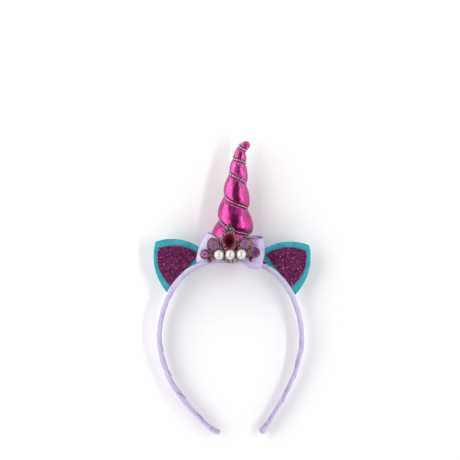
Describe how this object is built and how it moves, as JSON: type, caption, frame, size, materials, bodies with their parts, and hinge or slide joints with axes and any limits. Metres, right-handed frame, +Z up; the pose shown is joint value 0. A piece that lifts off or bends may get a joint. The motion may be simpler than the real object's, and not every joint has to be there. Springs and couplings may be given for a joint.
{
  "type": "unicorn horn headband",
  "caption": "Child's costume headband: a ribbon-wound hoop that carries a stuffed spiral horn, felt ears with glitter panels, a ribbon bow and a small jewelled tiara.",
  "frame": {"origin": "middle of the bounding box on the surface that the headband lies on", "axes": "+Y from the hoop's ends towards the horn's tip, +Z up and out of the headband's front, +X to the wearer's left"},
  "size_m": [0.139, 0.26, 0.0456],
  "materials": {
    "band_satin": "plastic strip wound in satin ribbon",
    "horn_foil": "foil-faced stretch cloth over soft filling",
    "silver_thread": "twisted metallic cord",
    "felt": "pressed felt",
    "glitter_sheet": "glitter-coated foam sheet",
    "bow_satin": "satin ribbon",
    "knot_ribbon": "crumpled metallic ribbon",
    "tiara_metal": "moulded plastic with a metallic coat",
    "stone_red": "faceted, polished",
    "stone_lilac": "faceted, polished",
    "stone_violet": "faceted, polished",
    "pearl": "pearl lacquer"
  },
  "bodies": {
    "root": {"band": "band_satin", "horn": "horn_foil", "horn_thread": "silver_thread", "ear_left": "felt", "ear_right": "felt", "ear_panel_left": "glitter_sheet", "ear_panel_right": "glitter_sheet", "glitter_scrap": "glitter_sheet", "bow": "bow_satin", "bow_knot": "knot_ribbon", "tiara": "tiara_metal", "stone_pear": "stone_red", "stone_oval_left": "stone_lilac", "stone_oval_right": "stone_lilac", "stone_small_left": "stone_violet", "stone_small_right": "stone_violet", "pearl_left": "pearl", "pearl_middle": "pearl", "pearl_right": "pearl"}
  },
  "joints": []
}
